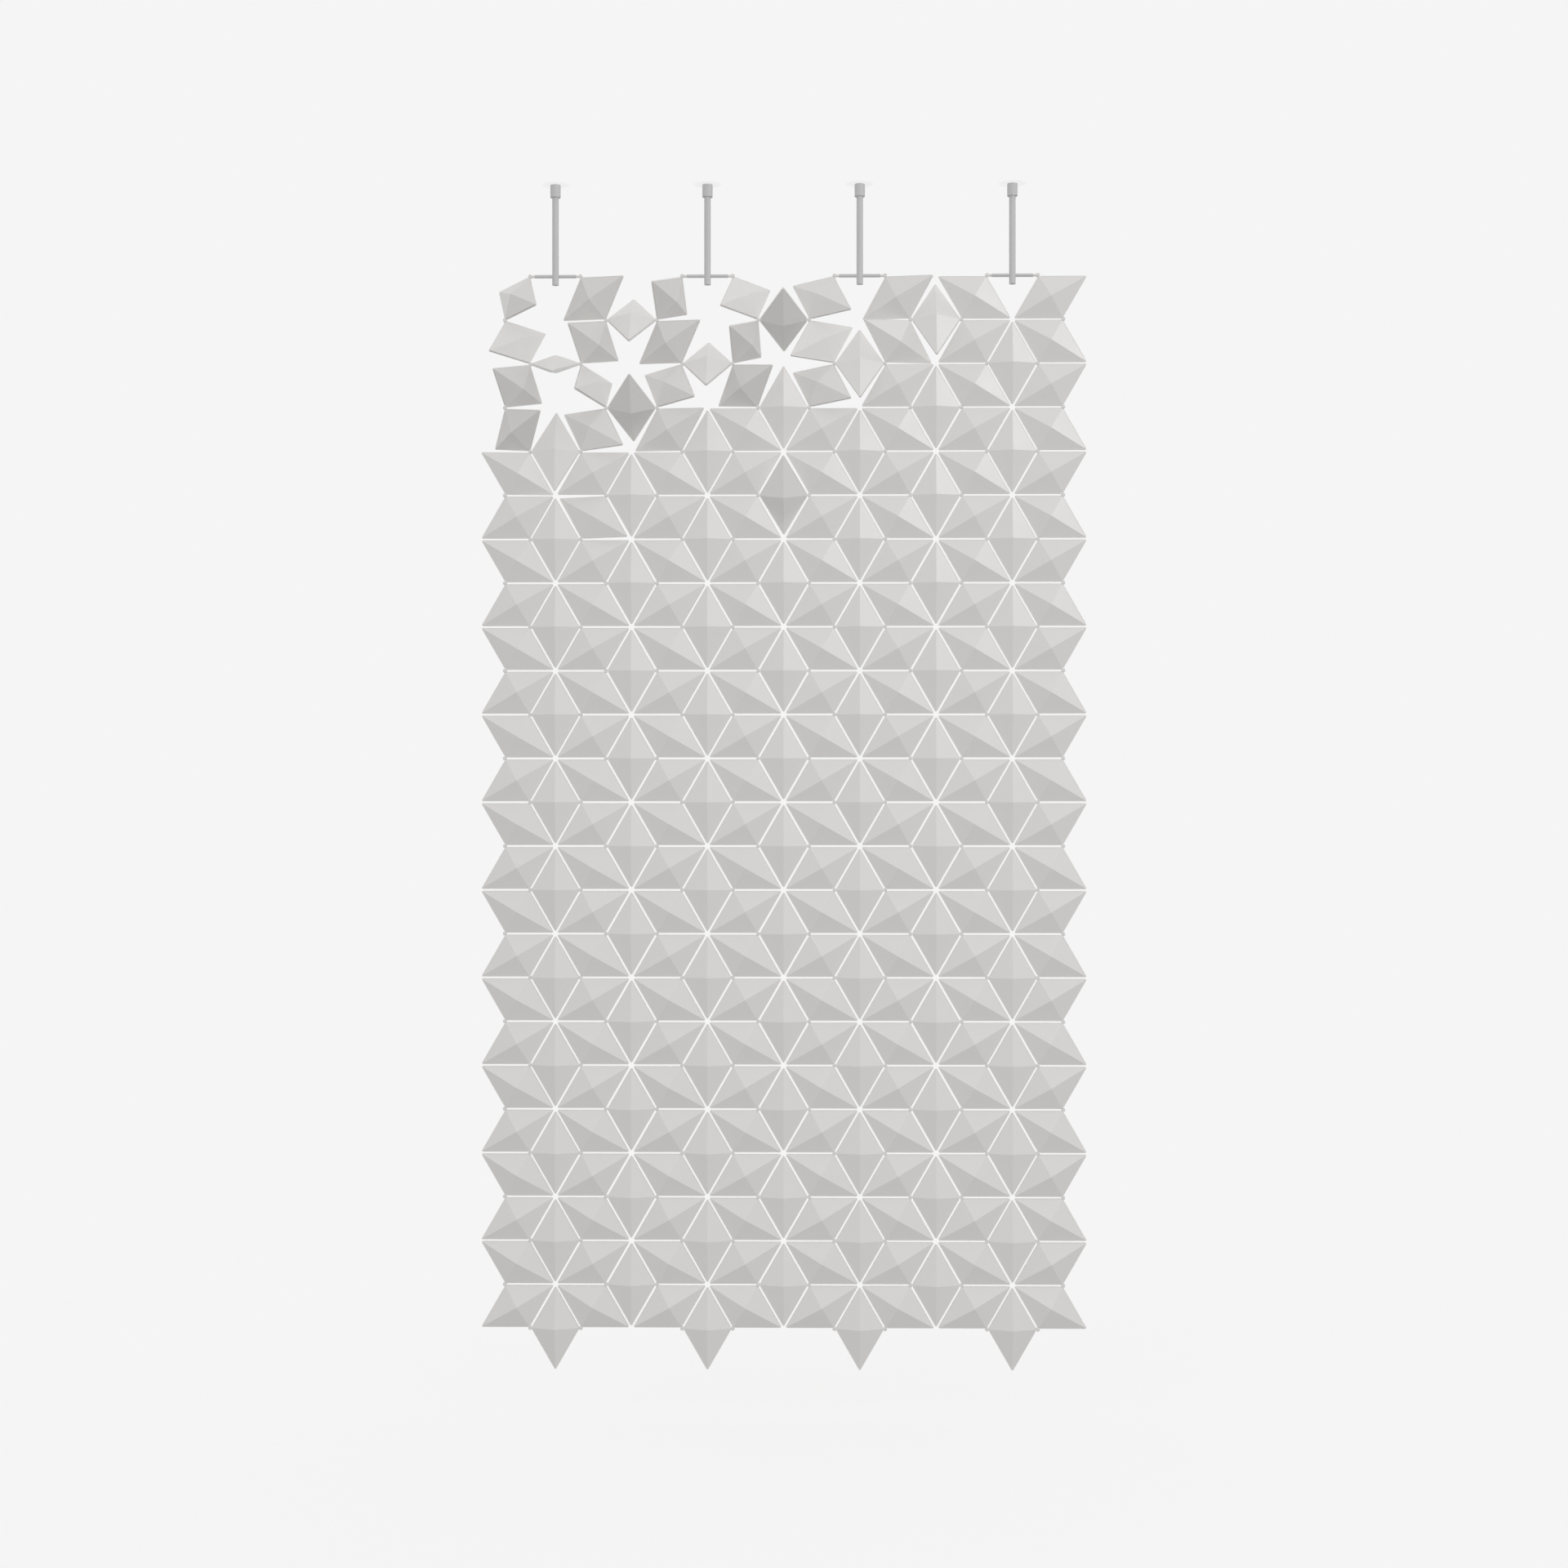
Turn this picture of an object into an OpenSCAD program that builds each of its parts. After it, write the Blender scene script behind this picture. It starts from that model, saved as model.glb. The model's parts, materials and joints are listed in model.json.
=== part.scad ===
// Hanging room divider panel.
// A honeycomb of small hub connectors hangs from ceiling rods. On every edge of the honeycomb sits a
// rhombic facet, two pyramid-shaped half shells closed round the pins of the hubs at both of its ends,
// so that each facet turns about its own short diagonal.
// Origin: in the plane of the ceiling, at the middle of the row of rods and of the panel's depth.
// +X runs along the panel to the right, +Y goes away from the viewer, +Z points up.

/* [Panel] */
// Distance between neighbouring ceiling rods, which is three honeycomb edges and the play of a module
module_pitch = 340; // [320:1:360]
// How far two neighbouring modules hang apart, which the end play of the level facets there takes up
module_play = 0.8; // [0:0.1:1]
// Number of ceiling rods, each at the middle of one module
module_count = 4; // [3:1:5]
// Number of zigzag rows of slanting facets
row_count = 24; // [12:2:24]
// Distance from the ceiling down to the top row of hubs
drop = 204; // [120:1:600]

/* [Facet] */
// Gap between two neighbouring facets that are both closed
facet_gap = 4.2; // [3.8:0.1:5]
// Thickness of a facet along its rim, both half shells together
rim_t = 5.6; // [4.6:0.1:6.6]
// Width of the flat border between the rim's edge and the foot of the pyramid
rim_w = 1.5; // [1:0.1:4]
// Height of each pyramid's peak above the middle plane of the facet
peak_h = 20.5; // [10:0.5:24]
// How far the two sharp tips are cut back
tip_cut = 2.6; // [0.8:0.1:6]
// Width of the seam between the front and the rear half shell
seam = 0.1; // [0.05:0.05:0.4]

/* [Hub connector] */
// Distance between a hub's middle and the flats that its pins stand on, doubled
hub_d = 8.4; // [7:0.1:9]
// How far the round body bulges past those flats
hub_bulge = 0.4; // [0.3:0.05:0.5]
// Thickness of the hub's body, front to back, without its two bosses
hub_t = 6; // [5:0.5:8]
// Height of the round boss on the hub's front and rear face
boss_h = 0.8; // [0.4:0.1:1.5]
// Diameter of a pin
pin_d = 3; // [2.4:0.1:3.2]
// Diameter of the collar at a pin's end, which the half shells close round
collar_d = 3.8; // [3.6:0.1:4]
// Length of that collar
collar_l = 4; // [2:0.5:6]
// How far a pin reaches into a facet, collar included
pin_reach = 12; // [8:0.5:16]
// Radial room between a pin and the facet that turns on it
running_fit = 0.08; // [0.05:0.01:0.1]
// Room between a hub's flat and the end of a facet
end_gap = 0.6; // [0.5:0.1:1]
// Diameter of the sleeve on a top hub, against which the crossbar ends
sleeve_d = 5.8; // [4.6:0.1:5.8]
// Length of that sleeve
sleeve_l = 6.4; // [3:0.1:7]

/* [Hanger] */
// Outer diameter of the ceiling rod, a tube
rod_d = 14.5; // [12:0.5:16]
// Wall of the ceiling rod
rod_wall = 1.5; // [1:0.1:2]
// Length of the rod below the crossbar's axis
rod_tail = 19.5; // [15:0.5:30]
// Diameter of the crossbar, a tube whose ends take hub pins
bar_d = 7.5; // [6.4:0.1:8]
// Outer diameter of the ceiling cap
cap_d = 23; // [21.5:0.5:26]
// Height of the ceiling cap
cap_h = 28; // [26:1:40]
// Thickness of the cap's lower lip, which carries the rod's collar
lip_t = 3; // [2:0.5:4]
// Height of the bush that is screwed to the ceiling inside the cap
bush_h = 14; // [10:1:15]
// Shank diameter of the ceiling screw that the bush is drilled for
screw_d = 5; // [4:0.5:6]

/* [Hidden] */
// Turn in degrees of the slanting facets that stand open: [column, row, turn] with columns from the
// left and rows from the top. A positive turn is right-handed about the facet's axle, taken downwards.
TURNED = [
    [1, 1, 52], [1, 2, -48], [1, 3, -57], [1, 4, 44], [1, 5, -8],
    [2, 1, 28], [2, 2, -53], [2, 3, -66], [2, 4, 30], [2, 6, 15],
    [3, 1, -66], [3, 2, 29], [3, 3, 43], [3, 4, 14],
    [4, 1, -49], [4, 2, -67], [4, 3, 40],
    [5, 1, 37], [5, 2, -31], [5, 3, 37],
    [6, 1, 14], [6, 2, -18]
];
// The same for the level facets: [row, place in the row from the left, turn], about +X. The others
// are closed.
TURNED_LEVEL = [
    [1, 1, -50], [1, 2, 53], [1, 3, -23],
    [2, 1, -70], [2, 2, -50], [2, 3, -27],
    [3, 1, 46], [4, 1, -13], [5, 2, 25]
];

edge = (module_pitch - module_play) / 3;
row_pitch = edge * sin(60);
column_count = 2 * module_count;
panel_mid = (module_count - 1) / 2;
turned = [for (t = TURNED) if (t[0] <= column_count && t[1] <= row_count) t];

// The facet in its own frame: X along the axle, Y through the thickness, Z along the long diagonal
side_reach = edge / 2 * cos(30) - facet_gap / 2;
long_reach = side_reach / sin(30) - tip_cut;
hub_r = hub_d / 2;
axle_end = edge / 2 - hub_r - end_gap;
pin_end = axle_end - pin_reach;
collar_start = pin_end + collar_l;
collar_play = module_play / 2 + 0.2;

// The hub's pin, measured from the hub's middle
collar_from = edge / 2 - collar_start;
pin_root = 1.2;
sleeve_end = hub_r + sleeve_l;

rod_r = rod_d / 2;
rod_bore_r = rod_r - rod_wall;
cap_r = cap_d / 2;
cap_bore_r = rod_r + 2;
bar_r = bar_d / 2;
seat_fit = 0.05;
collar_h = 3;
rod_top = -cap_h + lip_t + collar_h + 4;
rod_bottom = -drop - rod_tail;
plug_recess = 1;
plug_top = -drop + bar_r + 6;
clamp_screw_d = 5;
clamp_screw_l = 9;
key_across = 2.5;
countersink_r = screw_d;
edge_break = 0.6;

shell_color = [0.82, 0.81, 0.79];
hub_color = [0.66, 0.65, 0.63];
metal_color = [0.70, 0.70, 0.70];
steel_color = [0.55, 0.56, 0.58];

function two_digits(n) = n < 10 ? str("0", n) : str(n);
function turned_name(t) = str("facet_column_", t[0], "_row_", two_digits(t[1]));
function level_name(row) = str("level_facets_row_", two_digits(row));
function closed_name(m) = str("closed_facets_module_", m);

// ---- places on the honeycomb ----

// Which side of its ceiling rod a column of hubs is on: -1 left, +1 right
function side_of(column) = column % 2 == 1 ? -1 : 1;

// X of a ceiling rod
function rod_x(m) = (m - 1 - panel_mid) * module_pitch;

// Hub places: columns 1, 2, ... from the left, levels 0, 1, ... from the top
function hub_x(column, level) =
    rod_x(ceil(column / 2)) + side_of(column) * edge * (level % 2 == 0 ? 0.5 : 1);
function hub_z(level) = -drop - level * row_pitch;

// Turn of the level facet at a place in a row, and of a slanting facet, 0 where it isn't listed
function level_turn(row, place) =
    let (found = [for (t = TURNED_LEVEL) if (t[0] == row && t[1] == place) t[2]])
    len(found) > 0 ? found[0] : 0;
function is_turned(column, row) =
    len([for (t = turned) if (t[0] == column && t[1] == row) t]) > 0;

// Direction, in the XZ plane, from a hub down along the slanting edge below it
function down_angle(column, level) =
    (level % 2 == 0 ? side_of(column) : -side_of(column)) > 0 ? -60 : -120;

// Directions of a hub's pins
function has_level_pin(column, level) =
    level % 2 == 0 || (column > 1 && column < column_count);
function level_pin_angle(column, level) =
    (level % 2 == 0 ? -side_of(column) : side_of(column)) > 0 ? 0 : 180;
function pin_angles(column, level) = concat(
    has_level_pin(column, level) ? [level_pin_angle(column, level)] : [],
    level > 0 ? [-down_angle(column, level)] : [],
    level < row_count ? [down_angle(column, level)] : []
);

// ---- facet ----

// Ridge roof whose eaves lie on two opposite sides of the rhombus; two of them cross in the pyramid
module shell_roof(side_angle) {
    rotate([0, side_angle, 0])
    linear_extrude(height = 4 * edge, center = true)
    polygon([
        [-side_reach, seam / 2], [side_reach, seam / 2], [side_reach, rim_t / 2],
        [side_reach - rim_w, rim_t / 2], [0, peak_h],
        [rim_w - side_reach, rim_t / 2], [-side_reach, rim_t / 2]
    ]);
}

// Room for one hub pin and the collar on its end, about the axle
module pin_room() {
    rotate([0, 90, 0]) {
        translate([0, 0, collar_start])
        cylinder(r = pin_d / 2 + running_fit, h = edge, $fn = 32);
        translate([0, 0, pin_end - collar_play])
        cylinder(r = collar_d / 2 + running_fit, h = collar_l + 2 * collar_play, $fn = 32);
    }
}

// Rear half shell; the front one is the same moulding turned over about the axle
module half_shell() {
    difference() {
        intersection() {
            shell_roof(30);
            shell_roof(-30);
            translate([-axle_end, 0, -long_reach])
            cube([2 * axle_end, peak_h + 1, 2 * long_reach]);
        }
        for (end = [0, 180]) rotate([0, 0, end]) pin_room();
    }
}

// A whole facet, its axle pointing along an angle of the XZ plane, opened by a turn about the axle
module facet(angle, turn) {
    rotate([0, -angle, 0])
    rotate([turn, 0, 0])
    for (over = [0, 180]) rotate([over, 0, 0]) half_shell();
}

// The slanting facet between the hubs of a column at levels row - 1 and row
module slanting_facet(column, row, turn) {
    x = (hub_x(column, row - 1) + hub_x(column, row)) / 2;
    z = (hub_z(row - 1) + hub_z(row)) / 2;
    translate([x, 0, z]) facet(down_angle(column, row - 1), turn);
}

module turned_facet(t) {
    color(shell_color) slanting_facet(t[0], t[1], t[2]);
}

// The level facets of one row, on one common line: below the ceiling rods in even rows, and between
// them in odd ones
module level_facets(row) {
    places = row % 2 == 0 ? module_count : module_count - 1;
    offset_x = row % 2 == 0 ? 0 : module_pitch / 2;
    color(shell_color)
    for (place = [1 : places])
        translate([rod_x(place) + offset_x, 0, hub_z(row)]) facet(0, level_turn(row, place));
}

// The slanting facets of one module that stay closed
module closed_facets(m) {
    color(shell_color)
    for (column = [2 * m - 1, 2 * m], row = [1 : row_count])
        if (!is_turned(column, row)) slanting_facet(column, row, 0);
}

// ---- hubs ----

// One pin with its collar, from inside the body outwards
module hub_pin() {
    rotate([0, 90, 0])
    rotate_extrude($fn = 32)
    polygon([
        [0, hub_r - pin_root], [pin_d / 2, hub_r - pin_root], [pin_d / 2, collar_from],
        [collar_d / 2, collar_from], [collar_d / 2, collar_from + collar_l], [0, collar_from + collar_l]
    ]);
}

// Round body with a flat under each pin, a boss on both faces and one pin towards each neighbour
module hub(angles) {
    difference() {
        rotate([90, 0, 0]) {
            cylinder(r = hub_r + hub_bulge, h = hub_t, center = true, $fn = 48);
            cylinder(r = hub_r - 1, h = hub_t + 2 * boss_h, center = true, $fn = 48);
        }
        for (angle = angles) rotate([0, -angle, 0])
            translate([hub_r, -hub_t, -hub_r]) cube([2, 2 * hub_t, 2 * hub_r]);
    }
    for (angle = angles) rotate([0, -angle, 0]) hub_pin();
}

// Sleeve round the foot of the pin that goes into a crossbar
module bar_sleeve() {
    rotate([0, 90, 0])
    translate([0, 0, hub_r - pin_root])
    cylinder(d = sleeve_d, h = sleeve_l + pin_root, $fn = 48);
}

module hub_connectors() {
    color(hub_color)
    for (column = [1 : column_count], level = [0 : row_count])
        translate([hub_x(column, level), 0, hub_z(level)]) {
            hub(pin_angles(column, level));
            if (level == 0) rotate([0, -level_pin_angle(column, 0), 0]) bar_sleeve();
        }
}

// ---- hangers ----

module at_rods() {
    for (m = [1 : module_count]) translate([rod_x(m), 0, 0]) children();
}

// Turned bush on the ceiling, countersunk from below for its screw
module ceiling_bushes() {
    color(steel_color) at_rods()
    rotate_extrude($fn = 64)
    polygon([
        [screw_d / 2, 0], [cap_bore_r - seat_fit, 0], [cap_bore_r - seat_fit, -bush_h],
        [countersink_r, -bush_h], [screw_d / 2, -bush_h + countersink_r - screw_d / 2]
    ]);
}

// Cap that screws up over the bush, with the lip that holds the rod's collar
module ceiling_caps() {
    color(metal_color) at_rods()
    rotate_extrude($fn = 64)
    polygon([
        [cap_bore_r, 0], [cap_r, 0], [cap_r, -cap_h + edge_break], [cap_r - edge_break, -cap_h],
        [rod_r + seat_fit, -cap_h], [rod_r + seat_fit, -cap_h + lip_t], [cap_bore_r, -cap_h + lip_t]
    ]);
}

module hanger_rods() {
    color(metal_color) at_rods()
    difference() {
        translate([0, 0, rod_bottom]) cylinder(r = rod_r, h = rod_top - rod_bottom, $fn = 64);
        translate([0, 0, rod_bottom - 1]) cylinder(r = rod_bore_r, h = rod_top - rod_bottom + 2, $fn = 64);
        bar_hole();
    }
}

// Cross hole that the crossbar goes through
module bar_hole() {
    translate([-rod_d, 0, -drop]) rotate([0, 90, 0]) cylinder(r = bar_r + seat_fit, h = 2 * rod_d, $fn = 48);
}

module rod_collars() {
    color(steel_color) at_rods()
    translate([0, 0, -cap_h + lip_t])
    difference() {
        cylinder(r = cap_bore_r - 4 * seat_fit, h = collar_h, $fn = 64);
        translate([0, 0, -1]) cylinder(r = rod_r, h = collar_h + 2, $fn = 64);
    }
}

// Plug in the rod's lower end: the crossbar passes through it and its screw clamps the bar
module rod_plugs() {
    bottom = rod_bottom + plug_recess;
    color(steel_color) at_rods()
    difference() {
        translate([0, 0, bottom]) cylinder(r = rod_bore_r - seat_fit, h = plug_top - bottom, $fn = 48);
        bar_hole();
        translate([0, 0, bottom - 1])
        cylinder(d = clamp_screw_d + 2 * seat_fit, h = rod_tail, $fn = 32);
    }
}

module clamp_screws() {
    top = -drop - bar_r - seat_fit;
    color(steel_color) at_rods()
    translate([0, 0, top - clamp_screw_l])
    difference() {
        cylinder(d = clamp_screw_d, h = clamp_screw_l, $fn = 32);
        translate([0, 0, -1]) cylinder(d = key_across / cos(30), h = clamp_screw_l / 2 + 1, $fn = 6);
    }
}

// Crossbar: a tube whose open ends go over the pins of the two hubs beside the rod, up to their sleeves
module crossbars() {
    bar_l = edge - 2 * (sleeve_end + seat_fit);
    color(metal_color) at_rods()
    translate([-bar_l / 2, 0, -drop]) rotate([0, 90, 0])
    difference() {
        cylinder(r = bar_r, h = bar_l, $fn = 48);
        translate([0, 0, -1]) cylinder(r = collar_d / 2 + seat_fit, h = bar_l + 2, $fn = 32);
    }
}

ceiling_bushes();
ceiling_caps();
hanger_rods();
rod_collars();
rod_plugs();
clamp_screws();
crossbars();
hub_connectors();
for (t = turned)
    turned_facet(t);
for (row = [1 : row_count])
    level_facets(row);
for (m = [1 : module_count])
    closed_facets(m);
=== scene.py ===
"""Looks of a hanging room divider panel: rhombic facets, each of two moulded half shells, that turn
between small hub connectors and hang from four ceiling rods. Lengths are in metres."""

import json
import math
import random

import bmesh
import bpy
import numpy as np
from mathutils import Matrix, Vector

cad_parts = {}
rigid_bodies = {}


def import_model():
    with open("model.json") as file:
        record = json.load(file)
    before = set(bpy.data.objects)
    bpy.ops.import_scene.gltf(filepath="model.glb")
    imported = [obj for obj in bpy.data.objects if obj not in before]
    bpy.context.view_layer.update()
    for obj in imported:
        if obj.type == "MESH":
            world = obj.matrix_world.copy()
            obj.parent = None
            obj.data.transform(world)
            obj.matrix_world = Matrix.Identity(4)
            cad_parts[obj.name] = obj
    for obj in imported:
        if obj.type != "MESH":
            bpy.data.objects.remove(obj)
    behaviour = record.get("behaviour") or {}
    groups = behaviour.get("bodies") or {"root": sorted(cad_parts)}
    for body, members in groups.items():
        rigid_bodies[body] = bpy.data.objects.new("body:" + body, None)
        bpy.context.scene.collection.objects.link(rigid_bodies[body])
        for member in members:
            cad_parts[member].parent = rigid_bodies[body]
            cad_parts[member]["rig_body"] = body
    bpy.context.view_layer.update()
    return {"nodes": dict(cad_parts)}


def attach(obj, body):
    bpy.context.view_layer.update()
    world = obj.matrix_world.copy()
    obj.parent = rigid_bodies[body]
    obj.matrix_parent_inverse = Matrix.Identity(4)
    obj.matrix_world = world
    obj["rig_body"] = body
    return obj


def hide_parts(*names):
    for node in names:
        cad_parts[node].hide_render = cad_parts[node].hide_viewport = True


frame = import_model()

MM = 0.001
COS30 = math.cos(math.radians(30))
SIN30 = 0.5

# ---- sizes of the panel ----

# A module is what hangs from one rod. The play is how far two modules hang apart, and the drop goes
# from the ceiling to the top row of hubs.
MODULE_PITCH = 340 * MM
MODULE_PLAY = 0.8 * MM
MODULES = 4
ROWS = 24
DROP = 204 * MM
EDGE = (MODULE_PITCH - MODULE_PLAY) / 3
ROW_PITCH = EDGE * COS30
COLUMNS = 2 * MODULES

# Points nearer than this to each other are one
WELD = 0.001 * MM

# Facet, lying flat: X along its axle, Y along its long diagonal, Z out of the face. Reaches go from
# its middle, the peak's height too.
FACET_GAP = 4.2 * MM
SIDE_REACH = EDGE / 2 * COS30 - FACET_GAP / 2
TIP_CUT = 2.6 * MM
LONG_REACH = SIDE_REACH / SIN30 - TIP_CUT
RIM_THICKNESS = 5.6 * MM
RIM_WIDTH = 1.5 * MM
PEAK_HEIGHT = 20.5 * MM
SEAM = 0.1 * MM
SHELL_EDGE = 0.2 * MM

# Hub connector, round about Y, with its pins in the XZ plane. The flats under the pins are cut into
# the round body, the pins start at their root inside it, and the gap is the one to the facet's end.
HUB_FLAT = 4.2 * MM
HUB_R = 4.6 * MM
HUB_HALF = 3 * MM
HUB_EDGE = 0.25 * MM
BOSS_R = 3.2 * MM
BOSS_H = 0.8 * MM
DIMPLE_R = 1.3 * MM
DIMPLE_MOUTH = 1.69 * MM
DIMPLE_H = 0.35 * MM
PIN_R = 1.5 * MM
PIN_ROOT = 1.2 * MM
COLLAR_R = 1.9 * MM
COLLAR_L = 4 * MM
COLLAR_PLAY = MODULE_PLAY / 2 + 0.2 * MM
PIN_REACH = 12 * MM
END_GAP = 0.6 * MM
SLEEVE_R = 2.9 * MM
SLEEVE_L = 6.4 * MM
SLEEVE_EDGE = 0.3 * MM
AXLE_END = EDGE / 2 - HUB_FLAT - END_GAP
RUNNING_FIT = 0.08 * MM

# Flat sides that make up the round of a bore, a hub, a pin and a sleeve
BORE_SIDES = 8
HUB_SIDES = 16
PIN_SIDES = 12
SLEEVE_SIDES = 24

# Share of an edge of a turned part's outline that the rounding of one corner may take
CORNER_SHARE = 0.45

# Angles in degrees: an edge over them stays sharp to the light
SHELL_CREASE = 50
HUB_CREASE = 35
HANGER_CREASE = 40

# Hanger nodes with the name of the piece that stands for each and the width of its broken edges
COATED = {
    "ceiling_caps": ("caps", 0.4 * MM),
    "hanger_rods": ("rods", 0.25 * MM),
    "crossbars": ("bars", 0.3 * MM),
}
PLATED = {
    "ceiling_bushes": ("ceiling_bushes_turned", 0.2 * MM),
    "rod_collars": ("rod_collars_turned", 0.2 * MM),
    "rod_plugs": ("rod_plugs_turned", 0.2 * MM),
    "clamp_screws": ("clamp_screws_turned", 0.2 * MM),
}

# ---- photograph's view, in the photograph's own pixels ----

PHOTO_SIDE = 1920
FOCAL_PIXELS = 2800
SENSOR_MM = 36
CAMERA_PLACE = (0.0735, -5.1045, -1.3383)
CAMERA_YAW = 0.01422

# ---- stage ----

# How bright the background shows, where 1 is white
BACKDROP = 0.913

# Floor: height, half its width, how light its paint is, and how far from its middle it takes the
# panel's shadow
FLOOR_Z = -2.74
FLOOR_HALF = 9.0
FLOOR_PAINT = 0.4
FLOOR_REACH = 2.2

# Ceiling: height, half its width, how far from each rod it takes a painted shade, the width over
# which the painted shade ends, and how deep it is at most. The painted shade deepens with the part of
# the open space within a short distance that is taken up.
CEILING_Z = 0.2 * MM
CEILING_HALF = 0.6
CEILING_REACH = 34 * MM
CEILING_FADE = 6 * MM
CEILING_PAINTED_SHADE = 0.06
SHADE_DISTANCE = 60 * MM
SHADE_GAIN = 10
SHADE_SAMPLES = 16

# Dome of light: its strength at the horizon, and how much more there is straight above
DOME_LEVEL = 0.48
DOME_SLOPE = 0.238
PANEL_MIDDLE = (0, 0, -1.4)

# Softboxes: place, width, watts, and whether the panel shows a highlight of it
SOFTBOXES = {
    "front_key": ((5.64, -5.63, 3.71), 1.0, 150, True),
    "back_key": ((-5.64, 5.63, 3.71), 1.0, 150, False),
    "front_fill": ((0, -12, -1.4), 3.0, 420, False),
    "back_fill": ((0, 12, -1.4), 3.0, 420, False),
    "left_fill": ((-9.19, 0, 6.31), 3.0, 168, False),
    "right_fill": ((9.19, 0, 6.31), 3.0, 168, False),
}


class Wire:
    """A socket of a node tree. Arithmetic on it adds Math nodes to the tree."""

    def __init__(self, net, socket):
        self.net = net
        self.socket = socket

    def __getitem__(self, output):
        return Wire(self.net, self.socket.node.outputs[output])

    def maths(self, operation, *values):
        return self.net.maths(operation, self, *values)

    def __add__(self, other):
        return self.net.maths("ADD", self, other)

    def __radd__(self, other):
        return self.net.maths("ADD", other, self)

    def __sub__(self, other):
        return self.net.maths("SUBTRACT", self, other)

    def __rsub__(self, other):
        return self.net.maths("SUBTRACT", other, self)

    def __mul__(self, other):
        return self.net.maths("MULTIPLY", self, other)

    def __rmul__(self, other):
        return self.net.maths("MULTIPLY", other, self)

    def __truediv__(self, other):
        return self.net.maths("DIVIDE", self, other)

    def __gt__(self, other):
        return self.net.maths("GREATER_THAN", self, other)


class Net:
    """A node tree that is being built."""

    def __init__(self, tree):
        self.tree = tree

    def add(self, kind, settings=None, **feeds):
        """Adds a node and returns its first output. A socket's name is written with underscores, or
        as in1, in2 ... by its number; a list feeds several links to one socket."""
        node = self.tree.nodes.new(kind)
        for name, value in (settings or {}).items():
            setattr(node, name, value)
        for name, value in feeds.items():
            key = int(name[2:]) if name[:2] == "in" and name[2:].isdigit() else name.replace("_", " ")
            for single in value if isinstance(value, list) else [value]:
                self.feed(node.inputs[key], single)
        return Wire(self, node.outputs[0]) if node.outputs else None

    def feed(self, socket, value):
        if isinstance(value, Wire):
            self.tree.links.new(value.socket, socket)
        else:
            socket.default_value = value

    def maths(self, operation, *values):
        return self.add("ShaderNodeMath", {"operation": operation},
                        **{f"in{i}": v for i, v in enumerate(values)})

    def blend(self, factor, low, high):
        """Colour between low and high."""
        return self.add("ShaderNodeMix", {"data_type": "RGBA"}, in0=factor, in6=low, in7=high)[2]


# ---- materials ----

def new_material(name):
    """A material with a Principled surface; returns it, its net and that surface's node."""
    material = bpy.data.materials.new(name)
    material.use_nodes = True
    surface = material.node_tree.nodes["Principled BSDF"]
    return material, Net(material.node_tree), surface


def noise(net, place, scale, detail=2.0, roughness=0.5):
    return net.add("ShaderNodeTexNoise", {"noise_dimensions": "3D"},
                   Vector=place, Scale=scale, Detail=detail, Roughness=roughness)


def shades(colour):
    """A colour's darker and lighter version, which lie a tone of one apart, with the colour itself in
    the middle."""
    return tuple(c * 0.5 for c in colour) + (1,), tuple(c * 1.5 for c in colour) + (1,)


def paint_tone(net, surface, tone, colour):
    """Colours a surface; a tone of 1 is the colour itself."""
    darker, lighter = shades(colour)
    net.feed(surface.inputs["Base Color"], net.blend(tone - 0.5, darker, lighter))


def emboss(net, surface, strength, depth, height):
    """Bumps of so great a depth where the height's pattern goes from 0 to 1."""
    bump = net.add("ShaderNodeBump", {}, Strength=strength, Distance=depth, Height=height)
    net.feed(surface.inputs["Normal"], bump)


def moulded_plastic(name, colour, tone_step):
    """Satin moulded plastic: spark-eroded grain, faint cloudiness and a tone that differs a little
    from moulding to moulding."""
    cloud_scale, grain_scale, grain_tone = 14, 900, 0.04
    rough, cloud_rough, grain_rough = 0.37, 0.1, 0.06
    grain_strength, grain_depth = 0.25, 0.05 * MM
    material, net, surface = new_material(name)
    place = net.add("ShaderNodeTexCoord")["Object"]
    batch = net.add("ShaderNodeAttribute", {"attribute_name": "batch"})["Fac"]
    cloud = noise(net, place, cloud_scale, 3.0)
    grain = noise(net, place, grain_scale, 2.0)
    tone = 1 + (batch - 0.5) * tone_step + (cloud - 0.5) * tone_step + (grain - 0.5) * grain_tone
    paint_tone(net, surface, tone, colour)
    roughness = rough + (cloud - 0.5) * cloud_rough + (grain - 0.5) * grain_rough
    net.feed(surface.inputs["Roughness"], roughness)
    emboss(net, surface, grain_strength, grain_depth, grain)
    surface.inputs["IOR"].default_value = 1.46
    return material


def powder_coat(name, colour):
    """Powder coat on steel: fine orange peel with tiny lighter flecks."""
    peel_scale, fleck_scale, cloud_scale = 420, 1500, 9
    cloud_tone, fleck_tone, fleck_reach = 0.05, 0.06, 0.25
    rough, peel_rough = 0.5, 0.2
    peel_strength, peel_depth = 0.3, 0.1 * MM
    material, net, surface = new_material(name)
    place = net.add("ShaderNodeTexCoord")["Object"]
    peel = noise(net, place, peel_scale, 2.0, 0.6)
    fleck = net.add("ShaderNodeTexVoronoi", {"feature": "F1"}, Vector=place, Scale=fleck_scale)
    cloud = noise(net, place, cloud_scale, 2.0)
    tone = 1 + (cloud - 0.5) * cloud_tone + (fleck_reach - fleck) * fleck_tone
    paint_tone(net, surface, tone, colour)
    net.feed(surface.inputs["Roughness"], rough + (peel - 0.5) * peel_rough)
    emboss(net, surface, peel_strength, peel_depth, peel)
    return material


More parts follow.
